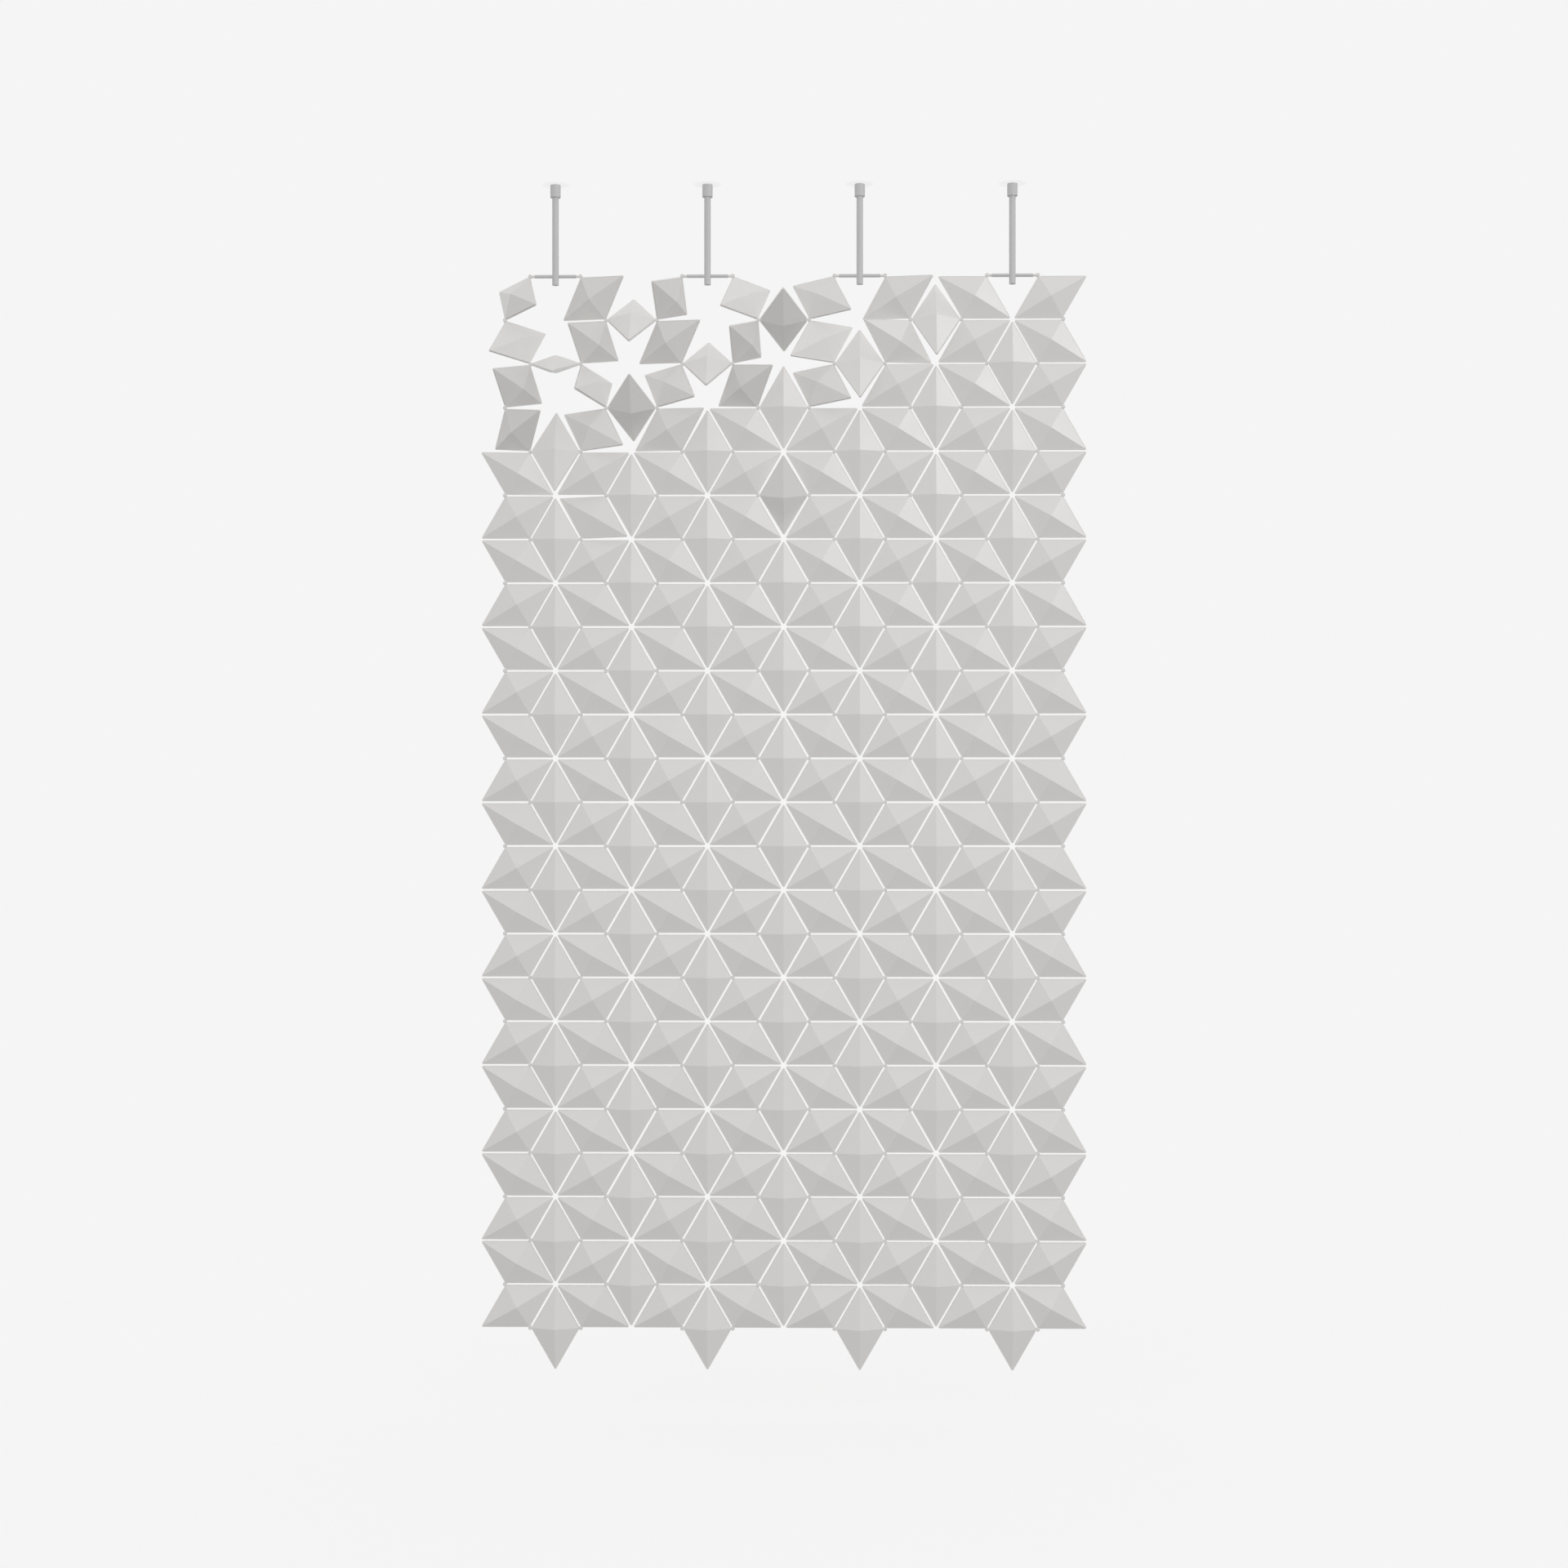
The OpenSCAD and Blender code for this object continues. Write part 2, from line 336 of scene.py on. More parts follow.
def zinc_plated_steel(name):
    """Turned steel with a thin zinc plating: spangle, tool rings and a few duller patches."""
    spangle_scale, patch_scale, ring_scale, ring_waver = 260, 70, 900, 0.4
    patch_share, spangle_share = 0.6, 0.4
    dull, bright = (0.42, 0.43, 0.45, 1), (0.66, 0.67, 0.69, 1)
    rough, patch_rough = 0.3, 0.2
    ring_strength, ring_depth = 0.2, 0.04 * MM
    material, net, surface = new_material(name)
    place = net.add("ShaderNodeTexCoord")["Object"]
    spangle = net.add("ShaderNodeTexVoronoi", {"feature": "F1"}, Vector=place, Scale=spangle_scale)
    patch = noise(net, place, patch_scale, 3.0)
    rings = net.add("ShaderNodeTexWave", {"wave_type": "BANDS", "bands_direction": "Z"},
                    Vector=place, Scale=ring_scale, Distortion=ring_waver)
    shade = patch * patch_share + spangle["Distance"] * spangle_share
    net.feed(surface.inputs["Base Color"], net.blend(shade, dull, bright))
    net.feed(surface.inputs["Roughness"], rough + patch * patch_rough)
    emboss(net, surface, ring_strength, ring_depth, rings)
    surface.inputs["Metallic"].default_value = 1
    return material


PANEL_GREY = (0.6655, 0.6575, 0.644)
ROD_GREY = (0.515, 0.515, 0.515)

facet_plastic = moulded_plastic("facet_plastic", PANEL_GREY, 0.012)
hub_plastic = moulded_plastic("hub_plastic", PANEL_GREY, 0.02)
rod_coat = powder_coat("rod_coat", ROD_GREY)
plated_steel = zinc_plated_steel("plated_steel")


# ---- geometry trees ----

NUMBER = "NodeSocketFloat"
SOLID = "NodeSocketGeometry"


def geometry_tree(name, **sockets):
    """A geometry tree with named inputs; returns its net and the input node's wire."""
    tree = bpy.data.node_groups.new(name, "GeometryNodeTree")
    for label, kind in sockets.items():
        tree.interface.new_socket(label.replace("_", " "), in_out="INPUT", socket_type=kind)
    tree.interface.new_socket("Geometry", in_out="OUTPUT", socket_type=SOLID)
    net = Net(tree)
    return net, net.add("NodeGroupInput")


def run_tree(obj, tree, **values):
    """Puts a tree on an object, its inputs set by their identifiers."""
    modifier = obj.modifiers.new(tree.name, "NODES")
    modifier.node_group = tree
    for item in tree.interface.items_tree:
        key = item.name.replace(" ", "_")
        if item.item_type == "SOCKET" and item.in_out == "INPUT" and key in values:
            modifier[item.identifier] = values[key]


def settle(obj):
    """Turns what an object's modifiers make into its plain mesh and takes them off."""
    bpy.context.view_layer.update()
    depsgraph = bpy.context.evaluated_depsgraph_get()
    mesh = bpy.data.meshes.new_from_object(
        obj.evaluated_get(depsgraph), preserve_all_data_layers=True, depsgraph=depsgraph)
    obj.modifiers.clear()
    obj.data = mesh
    mesh.name = obj.name
    return obj


def new_object(name, mesh=None):
    obj = bpy.data.objects.new(name, mesh or bpy.data.meshes.new(name))
    bpy.context.scene.collection.objects.link(obj)
    return obj


def half_shell_tree():
    """Half of a facet: a plate with a rhombic outline, its two tips cut off, a flat border and a
    pyramid on it. Both ends of the axle are cut off too, and have room for the two hub pins."""
    net, size = geometry_tree(
        "half_shell", Geometry=SOLID, Side_Reach=NUMBER, Long_Reach=NUMBER, Axle_End=NUMBER,
        Rim_Thickness=NUMBER, Rim_Width=NUMBER, Peak_Height=NUMBER, Seam=NUMBER,
        Bore_Radius=NUMBER, Bore_Depth=NUMBER, Collar_Radius=NUMBER, Collar_Length=NUMBER)

    def moved(shape, chosen, x, y, z):
        spot = net.add("ShaderNodeCombineXYZ", {}, X=x, Y=y, Z=z)
        feeds = {"Selection": chosen} if chosen else {}
        return net.add("GeometryNodeSetPosition", {}, Geometry=shape, Position=spot, **feeds)

    def raised(shape, chosen, height):
        return net.add("GeometryNodeExtrudeMesh", {"mode": "FACES"},
                       Mesh=shape, Selection=chosen, Offset_Scale=height, Individual=False)

    # Hexagon: two corners go to where the rhombus's sides meet on the axle's line, the other four
    # to the two cut tips
    disc = net.add("GeometryNodeMeshCircle", {"fill_type": "NGON"}, Vertices=6, Radius=1.0)
    spot = net.add("ShaderNodeSeparateXYZ", {}, Vector=net.add("GeometryNodeInputPosition"))
    x, y, z = spot["X"], spot["Y"], spot["Z"]
    by_axle = x.maths("ABSOLUTE") > y.maths("ABSOLUTE")
    side_x, side_y = x.maths("SIGN"), y.maths("SIGN")
    tip_half = (size["Side Reach"] - size["Long Reach"] * SIN30) / COS30
    outline = moved(disc, None,
                    side_x * (tip_half + by_axle * (size["Side Reach"] / COS30 - tip_half)),
                    side_y * (1 - by_axle) * size["Long Reach"],
                    size["Seam"] / 2)
    wall = raised(outline, True, size["Rim Thickness"] / 2 - size["Seam"] / 2)
    border = raised(wall, wall["Top"], 0.0)
    foot = size["Side Reach"] - size["Rim Width"]
    footed = moved(border, border["Top"],
                   side_x * by_axle * foot / COS30, side_y * (1 - by_axle) * foot / SIN30, z)
    peak = raised(footed, border["Top"], 0.0)
    pointed = moved(peak, peak["Top"], 0.0, 0.0, size["Peak Height"])
    opened = net.add("GeometryNodeDeleteGeometry", {"domain": "FACE"},
                     Geometry=pointed, Selection=peak["Top"])
    floor = net.add("GeometryNodeFlipFaces", {}, Mesh=outline)
    both = net.add("GeometryNodeJoinGeometry", {}, Geometry=[opened, floor])
    closed = net.add("GeometryNodeMergeByDistance", {}, Geometry=both, Distance=WELD)

    # What comes off past both ends of the axle, and the bores for the pin and its collar there
    spare = size["Side Reach"] / 4
    block = net.add("ShaderNodeCombineXYZ", {}, X=spare, Y=spare * 2, Z=spare * 2)
    inner = size["Axle End"] - size["Bore Depth"] + size["Collar Length"] / 2
    outer = size["Axle End"] + spare
    ends, bores = [], []
    for side in (-1, 1):
        beyond = net.add("ShaderNodeCombineXYZ", {}, X=side * (size["Axle End"] + spare / 2))
        end = net.add("GeometryNodeMeshCube", {}, Size=block)
        ends.append(net.add("GeometryNodeTransform", {}, Geometry=end, Translation=beyond))
        for radius, length, middle in (
                (size["Bore Radius"], outer - inner, (outer + inner) / 2),
                (size["Collar Radius"], size["Collar Length"], inner)):
            bore = net.add("GeometryNodeMeshCylinder", {}, Vertices=BORE_SIDES, Radius=radius,
                           Depth=length)
            where = net.add("ShaderNodeCombineXYZ", {}, X=side * middle)
            bores.append(net.add("GeometryNodeTransform", {}, Geometry=bore, Translation=where,
                                 Rotation=(0, math.pi / 2, 0)))
    cut = net.add("GeometryNodeMeshBoolean", {"operation": "DIFFERENCE", "solver": "EXACT"},
                  Mesh_1=closed, Mesh_2=ends)
    bored = net.add("GeometryNodeMeshBoolean", {"operation": "DIFFERENCE", "solver": "EXACT"},
                    Mesh_1=cut, Mesh_2=bores)
    clean = net.add("GeometryNodeMergeByDistance", {}, Geometry=bored, Distance=WELD)

    # Every sharp edge gets broken, apart from those of the bores
    bore_clearance, flat_angle = 1.1, math.radians(5)
    off_axle = (y * y + z * z).maths("SQRT") > bore_clearance * size["Collar Radius"]
    sharp = net.add("GeometryNodeInputMeshEdgeAngle")["Unsigned Angle"] > flat_angle
    weighted = net.add("GeometryNodeStoreNamedAttribute", {"data_type": "FLOAT", "domain": "EDGE"},
                       Geometry=clean, Name="bevel_weight_edge", Value=off_axle * sharp)
    net.add("NodeGroupOutput", {}, Geometry=weighted)
    return net.tree


def parts_on_points_tree():
    """A part put on every point, turned as the point's placing says."""
    net, given = geometry_tree("parts_on_points", Geometry=SOLID, Part="NodeSocketObject",
                               Material="NodeSocketMaterial")
    part = net.add("GeometryNodeObjectInfo", {}, Object=given["Part"])["Geometry"]
    placing = net.add("GeometryNodeInputNamedAttribute", {"data_type": "QUATERNION"}, Name="placing")
    spread = net.add("GeometryNodeInstanceOnPoints", {}, Points=given["Geometry"], Instance=part,
                     Rotation=placing)
    real = net.add("GeometryNodeRealizeInstances", {}, Geometry=spread)
    named = net.add("GeometryNodeSetMaterial", {}, Geometry=real, Material=given["Material"])
    net.add("NodeGroupOutput", {}, Geometry=named)
    return net.tree


PARTS_ON_POINTS = parts_on_points_tree()
batches = random.Random(7)


def spread_parts(name, part, material, placings):
    """One mesh of the part repeated at every placing, a 4x4 matrix each."""
    mesh = bpy.data.meshes.new(name)
    mesh.from_pydata([p.to_translation() for p in placings], [], [])
    turn = mesh.attributes.new("placing", "QUATERNION", "POINT")
    turn.data.foreach_set("value", [q for p in placings for q in p.to_quaternion()])
    batch = mesh.attributes.new("batch", "FLOAT", "POINT")
    batch.data.foreach_set("value", [batches.random() for _ in placings])
    obj = new_object(name, mesh)
    run_tree(obj, PARTS_ON_POINTS, Part=part, Material=material)
    return settle(obj)


def shell_master():
    """The half shell that all facets are made of, with its edges broken."""
    master = new_object("half_shell")
    run_tree(master, half_shell_tree(), Side_Reach=SIDE_REACH, Long_Reach=LONG_REACH,
             Axle_End=AXLE_END, Rim_Thickness=RIM_THICKNESS, Rim_Width=RIM_WIDTH,
             Peak_Height=PEAK_HEIGHT, Seam=SEAM, Bore_Radius=PIN_R + RUNNING_FIT,
             Bore_Depth=PIN_REACH + COLLAR_PLAY, Collar_Radius=COLLAR_R + RUNNING_FIT,
             Collar_Length=COLLAR_L + 2 * COLLAR_PLAY)
    bevel = master.modifiers.new("broken_edges", "BEVEL")
    bevel.limit_method = "WEIGHT"
    bevel.width = SHELL_EDGE
    bevel.segments = 1
    settle(master)
    return smoothed(master, SHELL_CREASE)


def smoothed(obj, angle):
    """Shades an object smooth, with flat faces kept flat and edges over an angle kept sharp."""
    mesh = obj.data
    mesh.shade_smooth()
    mesh.set_sharp_from_angle(angle=math.radians(angle))
    level = obj.modifiers.new("flat_faces", "WEIGHTED_NORMAL")
    level.keep_sharp = True
    return settle(obj)


# ---- honeycomb ----

def module_of(column):
    """Every module has two columns of hubs, left and right of its rod."""
    return (column + 1) // 2


def rod_x(module):
    """Where a module's rod is along the panel. Modules and columns count from 1 at the left."""
    return (module - 1 - (MODULES - 1) / 2) * MODULE_PITCH


def side_of(column):
    """Which side of its rod a column is on."""
    return -1 if column % 2 else 1


def hub_place(column, level):
    """Middle of a hub. Levels count down from 0 at the crossbars."""
    out = side_of(column) * EDGE * (0.5 if level % 2 == 0 else 1)
    return Vector((rod_x(module_of(column)) + out, 0, -DROP - level * ROW_PITCH))


def peak_direction(node, centre, axle):
    """Which way the peak of the facet at a centre points in the CAD node."""
    mesh = frame["nodes"][node].data
    points = np.empty(len(mesh.vertices) * 3)
    mesh.vertices.foreach_get("co", points)
    offset = points.reshape(-1, 3) - np.array(centre)
    along = offset @ np.array(axle)
    radial = offset - np.outer(along, np.array(axle))
    reach = np.linalg.norm(radial, axis=1)
    found = radial[(abs(along) < SEAM) & (abs(reach - PEAK_HEIGHT) < SEAM)]
    return Vector(found[0]).normalized()


def facet_placings(centre, axle, out):
    """The placings of a facet's two half shells, whose pyramids point out and back."""
    placings = []
    for normal in (out, -out):
        turn = Matrix((axle, normal.cross(axle), normal)).transposed()
        placings.append(Matrix.Translation(centre) @ turn.to_4x4())
    return placings


def slanting_edge(column, row):
    """Middle and direction of the honeycomb's edge between two hubs of a column."""
    top, bottom = hub_place(column, row - 1), hub_place(column, row)
    return (top + bottom) / 2, (bottom - top).normalized()


def level_centres(row):
    """Middles of the level facets of a row, which lie under the rods or between them."""
    count = MODULES if row % 2 == 0 else MODULES - 1
    shift = 0 if row % 2 == 0 else MODULE_PITCH / 2
    return [Vector((rod_x(place + 1) + shift, 0, -DROP - row * ROW_PITCH)) for place in range(count)]


def dress_facets():
    """Half shells on every edge of the honeycomb, one piece for each CAD node of facets."""
    shell = shell_master()
    front = Vector((0, -1, 0))
    level = Vector((1, 0, 0))
    nodes = frame["nodes"]
    wanted = {}
    for column in range(1, COLUMNS + 1):
        for row in range(1, ROWS + 1):
            centre, axle = slanting_edge(column, row)
            node = f"facet_column_{column}_row_{row:02d}"
            if node in nodes:
                out = peak_direction(node, centre, axle)
            else:
                node = f"closed_facets_module_{module_of(column)}"
                out = front
            wanted.setdefault(node, []).extend(facet_placings(centre, axle, out))
    for row in range(1, ROWS + 1):
        node = f"level_facets_row_{row:02d}"
        for centre in level_centres(row):
            out = peak_direction(node, centre, level)
            wanted.setdefault(node, []).extend(facet_placings(centre, level, out))
    for node, placings in wanted.items():
        piece = spread_parts("shells_" + node, shell, facet_plastic, placings)
        ride_as(piece, node)
    bpy.data.objects.remove(shell)


def ride_as(piece, node):
    """The piece stands for a CAD node and rides on that node's body."""
    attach(piece, frame["nodes"][node]["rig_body"])
    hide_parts(node)


# ---- hub connectors ----

def rounded_profile(corners, radius, steps):
    """Points of a closed outline, each corner off the axis rounded with a few steps, or all sharp
    for no radius."""
    if radius == 0:
        return [Vector(corner) for corner in corners]
    made = []
    for i, corner in enumerate(corners):
        here = Vector(corner)
        before = Vector(corners[i - 1]) - here
        after = Vector(corners[(i + 1) % len(corners)]) - here
        reach = min(radius, before.length * CORNER_SHARE, after.length * CORNER_SHARE)
        if here.x == 0:
            made.append(here)
            continue
        start, end = here + before.normalized() * reach, here + after.normalized() * reach
        for step in range(steps + 1):
            t = step / steps
            made.append(start * (1 - t) ** 2 + here * 2 * t * (1 - t) + end * t ** 2)
    return made


def fill_mesh(mesh, form):
    """Puts a finished form in a mesh. Its points and faces get an order of their own, because the
    one that bmesh leaves isn't the same in each run."""
    points = sorted(form.verts, key=lambda point: [round(c / WELD) for c in point.co])
    number = {point: i for i, point in enumerate(points)}
    faces = []
    for face in form.faces:
        loop = [number[point] for point in face.verts]
        first = loop.index(min(loop))
        faces.append(loop[first:] + loop[:first])
    mesh.clear_geometry()
    mesh.from_pydata([tuple(point.co) for point in points], [], sorted(faces))
    form.free()


def turned_part(name, corners, radius, segments, steps=1):
    """A part turned about Z from an outline of (distance from the axis, height) points."""
    form = bmesh.new()
    outline = [form.verts.new((p.x, 0, p.y)) for p in rounded_profile(corners, radius, steps)]
    rings = [form.edges.new((outline[i - 1], outline[i])) for i in range(len(outline))]
    bmesh.ops.spin(form, geom=outline + rings, cent=(0, 0, 0), axis=(0, 0, 1),
                   angle=2 * math.pi, steps=segments, use_merge=True)
    bmesh.ops.remove_doubles(form, verts=form.verts, dist=WELD)
    loose = [e for e in form.edges if not e.link_faces]
    bmesh.ops.delete(form, geom=loose, context="EDGES")
    bmesh.ops.recalc_face_normals(form, faces=form.faces)
    obj = new_object(name)
    fill_mesh(obj.data, form)
    return obj


def hub_master():
    """Round body with a boss and a gate dimple on both faces, and a flat under each pin."""
    half = HUB_HALF + BOSS_H
    body = turned_part("hub_body", [
        (0, DIMPLE_H - half), (DIMPLE_R, DIMPLE_H - half), (DIMPLE_MOUTH, -half), (BOSS_R, -half),
        (BOSS_R, -HUB_HALF), (HUB_R, -HUB_HALF), (HUB_R, HUB_HALF), (BOSS_R, HUB_HALF),
        (BOSS_R, half), (DIMPLE_MOUTH, half), (DIMPLE_R, half - DIMPLE_H), (0, half - DIMPLE_H),
    ], HUB_EDGE, HUB_SIDES)
    form = bmesh.new()
    form.from_mesh(body.data)
    upright = Matrix.Rotation(math.pi / 2, 3, "X")
    bmesh.ops.rotate(form, verts=form.verts, cent=(0, 0, 0), matrix=upright)
    for turn in (0, 120, 240):
        out = Vector((math.cos(math.radians(turn)), 0, math.sin(math.radians(turn))))
        cut = bmesh.ops.bisect_plane(form, geom=form.verts[:] + form.edges[:] + form.faces[:],
                                     plane_co=out * HUB_FLAT, plane_no=out, clear_outer=True)
        rim = [e for e in cut["geom_cut"] if isinstance(e, bmesh.types.BMEdge)]
        bmesh.ops.contextual_create(form, geom=rim)
    bmesh.ops.recalc_face_normals(form, faces=form.faces)
    fill_mesh(body.data, form)
    return smoothed(body, HUB_CREASE)


def pin_master():
    """One pin with its collar, along +X from inside the hub's body. Its edges are left sharp: all
    but its foot is inside a facet."""
    root = HUB_FLAT - PIN_ROOT
    neck = EDGE / 2 - (AXLE_END - PIN_REACH) - COLLAR_L
    end = neck + COLLAR_L
    pin = turned_part("hub_pin", [
        (0, root), (PIN_R, root), (PIN_R, neck), (COLLAR_R, neck), (COLLAR_R, end), (0, end),
    ], 0, PIN_SIDES)
    pin.data.transform(Matrix.Rotation(math.pi / 2, 4, "Y"))
    return smoothed(pin, HUB_CREASE)


def sleeve_master():
    """The sleeve on the foot of a pin that goes into a crossbar, along +X."""
    root, end = HUB_FLAT - PIN_ROOT, HUB_FLAT + SLEEVE_L
    sleeve = turned_part("bar_sleeve", [
        (PIN_R, root), (SLEEVE_R, root), (SLEEVE_R, end), (PIN_R, end),
    ], SLEEVE_EDGE, SLEEVE_SIDES, 2)
    sleeve.data.transform(Matrix.Rotation(math.pi / 2, 4, "Y"))
    return smoothed(sleeve, HUB_CREASE)


def joined(name, *parts):
    """One object of several plain ones, which it takes the place of."""
    form = bmesh.new()
    for part in parts:
        form.from_mesh(part.data)
    obj = new_object(name)
    for material in parts[0].data.materials:
        obj.data.materials.append(material)
    form.to_mesh(obj.data)
    form.free()
    for part in parts:
        bpy.data.objects.remove(part)
    return obj


def at_hub(place, turn):
    """Puts a part at a hub, its +X turned upward from the panel's +X by so many degrees."""
    return Matrix.Translation(place) @ Matrix.Rotation(-math.radians(turn), 4, "Y")


def dress_hubs():
    """A body at every corner of the honeycomb and a pin towards each neighbour."""
    bodies, pins, sleeves = [], [], []
    for column in range(1, COLUMNS + 1):
        for level in range(ROWS + 1):
            place = hub_place(column, level)
            to_rod = level % 2 == 0
            points_right = (side_of(column) > 0) != to_rod
            across, downward = (0, -120) if points_right else (180, -60)
            turns = []
            if to_rod or 1 < column < COLUMNS:
                turns.append(across)
            if level > 0:
                turns.append(-downward)
            if level < ROWS:
                turns.append(downward)
            bodies.append(at_hub(place, across))
            if level == 0:
                sleeves.append(at_hub(place, across))
            pins += [at_hub(place, turn) for turn in turns]
    body, pin, sleeve = hub_master(), pin_master(), sleeve_master()
    hubs = joined("hubs", spread_parts("bodies", body, hub_plastic, bodies),
                  spread_parts("pins", pin, hub_plastic, pins),
                  spread_parts("sleeves", sleeve, hub_plastic, sleeves))
    ride_as(hubs, "hub_connectors")
    for master in (body, pin, sleeve):
        bpy.data.objects.remove(master)


# ---- hangers ----

def finished_copy(node, name, width, material, segments):
    """A CAD node's shape with its edges broken, standing for the node."""
    mesh_weld, coplanar, corner = 0.002 * MM, math.radians(1), math.radians(40)
    form = bmesh.new()
    form.from_mesh(frame["nodes"][node].data)
    bmesh.ops.remove_doubles(form, verts=form.verts, dist=mesh_weld)
    bmesh.ops.dissolve_limit(form, angle_limit=coplanar, verts=form.verts, edges=form.edges)
    obj = new_object(name)
    form.to_mesh(obj.data)
    form.free()
    bevel = obj.modifiers.new("broken_edges", "BEVEL")
    bevel.limit_method = "ANGLE"
    bevel.angle_limit = corner
    bevel.width = width
    bevel.segments = segments
    settle(obj)
    smoothed(obj, HANGER_CREASE)
    obj.data.materials.clear()
    obj.data.materials.append(material)
    ride_as(obj, node)


def dress_hangers():
    """The coated parts that show, and the plated ones inside them."""
    for node, (name, width) in COATED.items():
        finished_copy(node, name, width, rod_coat, 2)
    for node, (name, width) in PLATED.items():
        finished_copy(node, name, width, plated_steel, 1)


# ---- stage, light and camera ----

def seen_ray(net):
    """1 for what the camera sees, straight or in a reflection or through glass."""
    ray = net.add("ShaderNodeLightPath")
    indirect = ray["Is Glossy Ray"].maths("MAXIMUM", ray["Is Transmission Ray"])
    return ray["Is Camera Ray"].maths("MAXIMUM", indirect)


def grey(value):
    return (value, value, value, 1)


def glow(net, value):
    """A grey that shows the same in any light."""
    return net.add("ShaderNodeEmission", {}, Color=grey(value), Strength=1.0)


def floor_paint(net):
    """Paint that shows as the backdrop's colour in the studio's full light, darker in a shadow."""
    paint = net.add("ShaderNodeBsdfDiffuse", {}, Color=grey(FLOOR_PAINT))
    lift = glow(net, BACKDROP - FLOOR_PAINT * light_on_floor())
    return net.add("ShaderNodeAddShader", {}, in0=paint, in1=lift)


def ceiling_paint(net):
    """The backdrop's colour, with painted shade a little darker close round what hangs from the
    ceiling.
    """
    space = net.add("ShaderNodeAmbientOcclusion", {"samples": SHADE_SAMPLES}, Distance=SHADE_DISTANCE)
    shade = ((1 - space["AO"]) * SHADE_GAIN).maths("MINIMUM", 1.0)
    # painted shade: a darker glow mixed in where nearby parts take up the open space, not a shadow of
    # the lamps
    painted_shade = glow(net, BACKDROP * (1 - CEILING_PAINTED_SHADE))
    return net.add("ShaderNodeMixShader", {}, in0=shade, in1=glow(net, BACKDROP), in2=painted_shade)


def stage_material(name, paint, middles, reach, fade):
    """Paint within reach of the middles, which over the last stretch fades into the backdrop's plain
    colour. It shows from its front only."""
    material = bpy.data.materials.new(name)
    material.use_nodes = True
    net = Net(material.node_tree)
    net.tree.nodes.clear()
    place = net.add("ShaderNodeTexCoord")["Object"]
    near = None
    for middle in middles:
        apart = net.add("ShaderNodeVectorMath", {"operation": "DISTANCE"}, in0=place, in1=middle)
        away = apart["Value"]
        near = away if near is None else near.maths("MINIMUM", away)
    share = ((reach - near) / fade).maths("MAXIMUM", 0.0).maths("MINIMUM", 1.0)
    shown = net.add("ShaderNodeMixShader", {}, in0=share, in1=glow(net, BACKDROP), in2=paint(net))
    behind = net.add("ShaderNodeNewGeometry")["Backfacing"]
    clear = net.add("ShaderNodeBsdfTransparent")
    shown = net.add("ShaderNodeMixShader", {}, in0=behind, in1=shown, in2=clear)
    net.add("ShaderNodeOutputMaterial", {}, Surface=shown)
    return material


def stage_plane(name, height, half, up, material):
    """A level square that the camera sees, while light passes it."""
    mesh = bpy.data.meshes.new(name)
    corners = [(-1, -1), (1, -1), (1, 1), (-1, 1)]
    if not up:
        corners.reverse()
    mesh.from_pydata([(x * half, y * half, 0) for x, y in corners], [], [(0, 1, 2, 3)])
    mesh.materials.append(material)
    plane = new_object(name, mesh)
    plane.location.z = height
    plane.visible_diffuse = False
    plane.visible_glossy = False
    plane.visible_shadow = False


def light_on_floor():
    """How bright white paint would look on the floor under the panel's middle. What the dome has
    more above counts for two thirds there."""
    total = DOME_LEVEL + DOME_SLOPE * 2 / 3
    for place, _, watts, _ in SOFTBOXES.values():
        toward = Vector(place) - Vector((0, 0, FLOOR_Z))
        facing = max(0, toward.z / toward.length)
        total += watts * facing / (math.pi * toward.length) ** 2
    return total


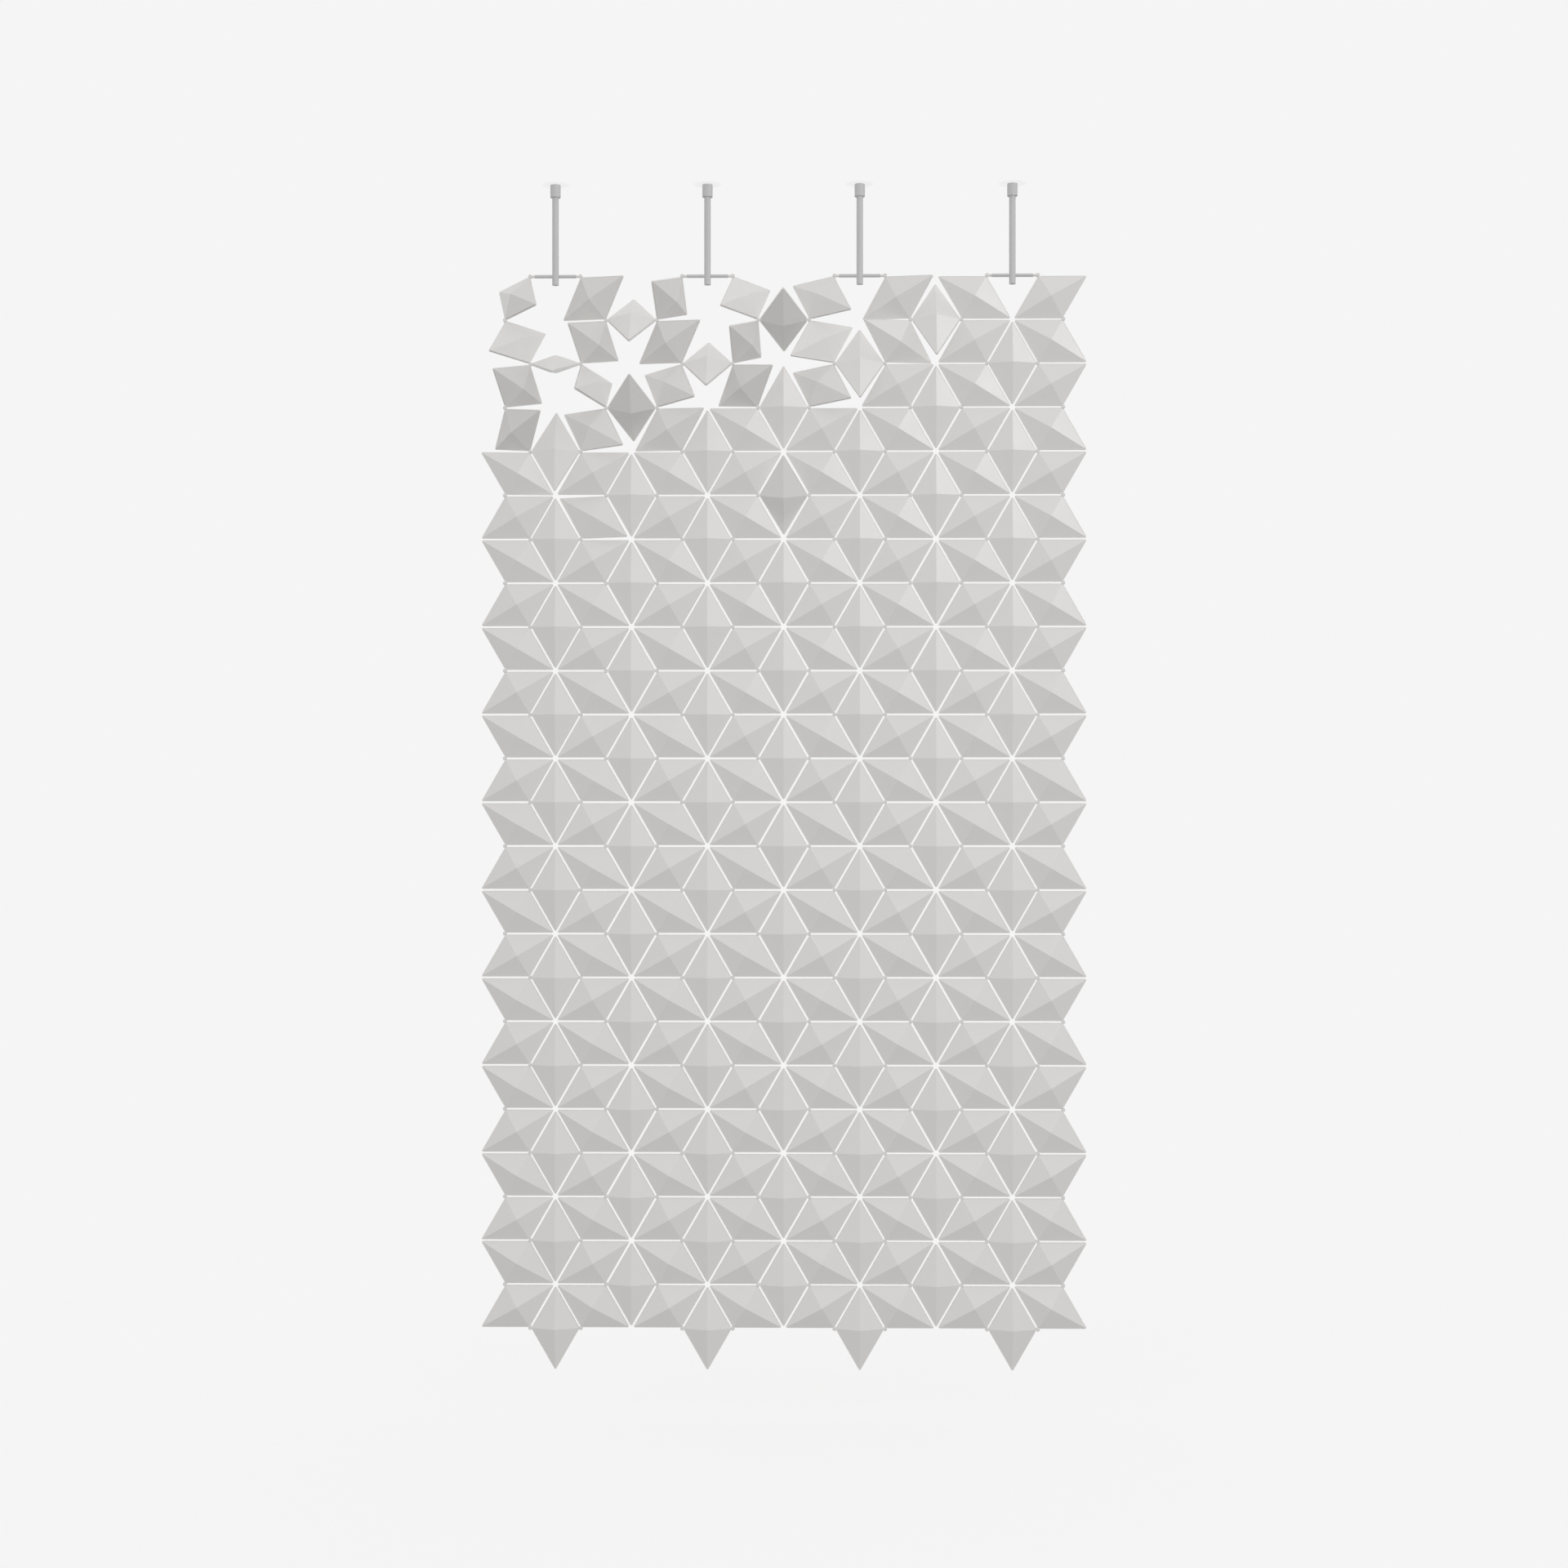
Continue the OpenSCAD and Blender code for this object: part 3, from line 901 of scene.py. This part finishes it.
def set_stage():
    """A floor and a piece of ceiling, which look like the backdrop where nothing shades them. The
    ceiling's shade close round the rods is painted.
    """
    rods = [(rod_x(module), 0, 0) for module in range(1, MODULES + 1)]
    floor = stage_material("floor_paint", floor_paint, [(0, 0, 0)], FLOOR_REACH, FLOOR_REACH)
    ceiling = stage_material("ceiling_paint", ceiling_paint, rods, CEILING_REACH, CEILING_FADE)
    stage_plane("floor", FLOOR_Z, FLOOR_HALF, True, floor)
    stage_plane("ceiling", CEILING_Z, CEILING_HALF, False, ceiling)


def softbox(name, place, size, power, highlight):
    """A distant area lamp that lights the panel evenly, without shadows."""
    lamp = bpy.data.lights.new(name, "AREA")
    lamp.size = size
    lamp.energy = power
    lamp.use_shadow = False
    obj = bpy.data.objects.new(name, lamp)
    bpy.context.scene.collection.objects.link(obj)
    obj.location = place
    aim = Vector(PANEL_MIDDLE) - Vector(place)
    obj.rotation_euler = aim.to_track_quat("-Z", "Y").to_euler()
    obj.visible_camera = False
    obj.visible_glossy = highlight


def light_studio():
    """A dome that is brighter above, and softboxes placed alike before and behind the panel."""
    world = bpy.data.worlds.new("studio")
    bpy.context.scene.world = world
    world.use_nodes = True
    net = Net(world.node_tree)
    net.tree.nodes.clear()
    toward = net.add("ShaderNodeTexCoord")["Generated"]
    height = net.add("ShaderNodeSeparateXYZ", {}, Vector=toward)["Z"]
    strength = DOME_LEVEL + height * DOME_SLOPE
    dome = net.add("ShaderNodeBackground", {}, Color=grey(1.0), Strength=strength)
    shown = net.add("ShaderNodeBackground", {}, Color=grey(BACKDROP), Strength=1.0)
    surface = net.add("ShaderNodeMixShader", {}, in0=seen_ray(net), in1=dome, in2=shown)
    net.add("ShaderNodeOutputWorld", {}, Surface=surface)
    for name, (place, size, watts, highlight) in SOFTBOXES.items():
        softbox(name, place, size, watts, highlight)


def place_camera():
    """Shows the panel as the photograph does."""
    lens = bpy.data.cameras.new("photo_view")
    lens.sensor_width = SENSOR_MM
    lens.lens = SENSOR_MM * FOCAL_PIXELS / PHOTO_SIDE
    camera = bpy.data.objects.new("photo_view", lens)
    bpy.context.scene.collection.objects.link(camera)
    camera.location = CAMERA_PLACE
    camera.rotation_euler = (math.pi / 2, 0, CAMERA_YAW)
    bpy.context.scene.camera = camera


place_camera()
bpy.context.scene.view_settings.view_transform = "Standard"
light_studio()
set_stage()
dress_facets()
dress_hubs()
dress_hangers()
